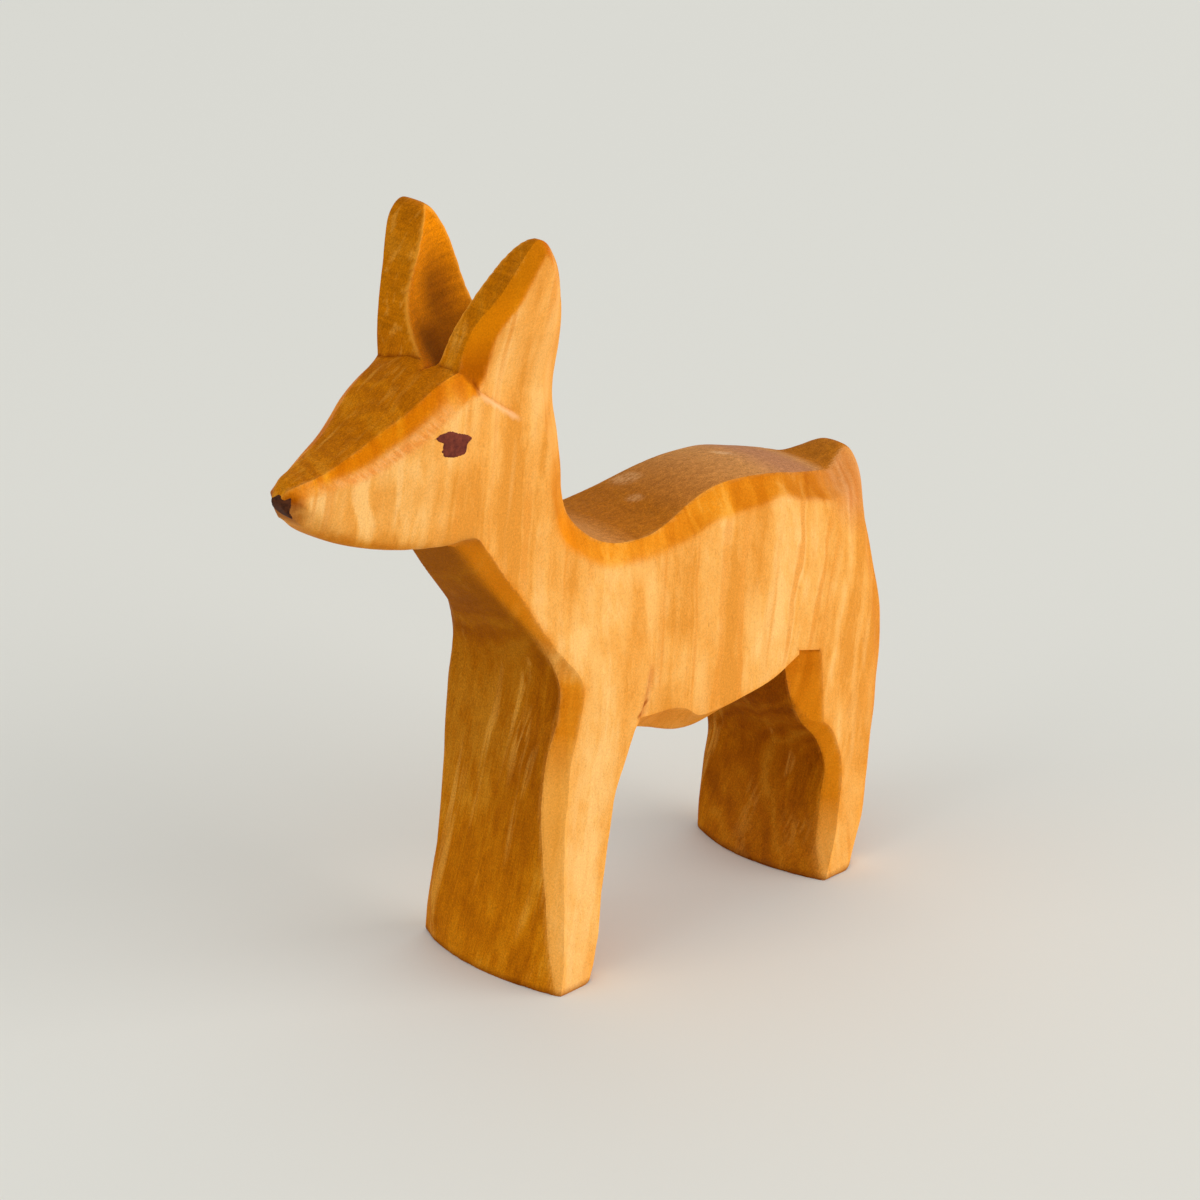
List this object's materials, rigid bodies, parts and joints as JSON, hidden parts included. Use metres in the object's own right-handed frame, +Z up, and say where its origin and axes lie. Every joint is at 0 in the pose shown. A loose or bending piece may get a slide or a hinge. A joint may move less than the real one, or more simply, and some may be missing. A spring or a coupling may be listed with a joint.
{
  "type": "deer figurine",
  "caption": "Standing doe carved from one block of wood, with knife-bevelled edges, upright leaf-shaped ears, undivided front and rear leg blocks, and painted eyes and nose.",
  "frame": {"origin": "middle of the footprint's bounding box, on the plane that both feet stand on", "axes": "+X from nose to tail, +Y towards the figure's right side, +Z up"},
  "size_m": [0.1125, 0.0302, 0.1105],
  "materials": {
    "wood": "stained and oiled hardwood, upright grain, satin",
    "eye_paint": "brushed dark plum-brown paint, low sheen",
    "nose_paint": "brushed dark brown paint, low sheen"
  },
  "bodies": {
    "root": {"carved_body": "wood", "eye_left": "eye_paint", "eye_right": "eye_paint", "nose_tip": "nose_paint"}
  },
  "joints": []
}
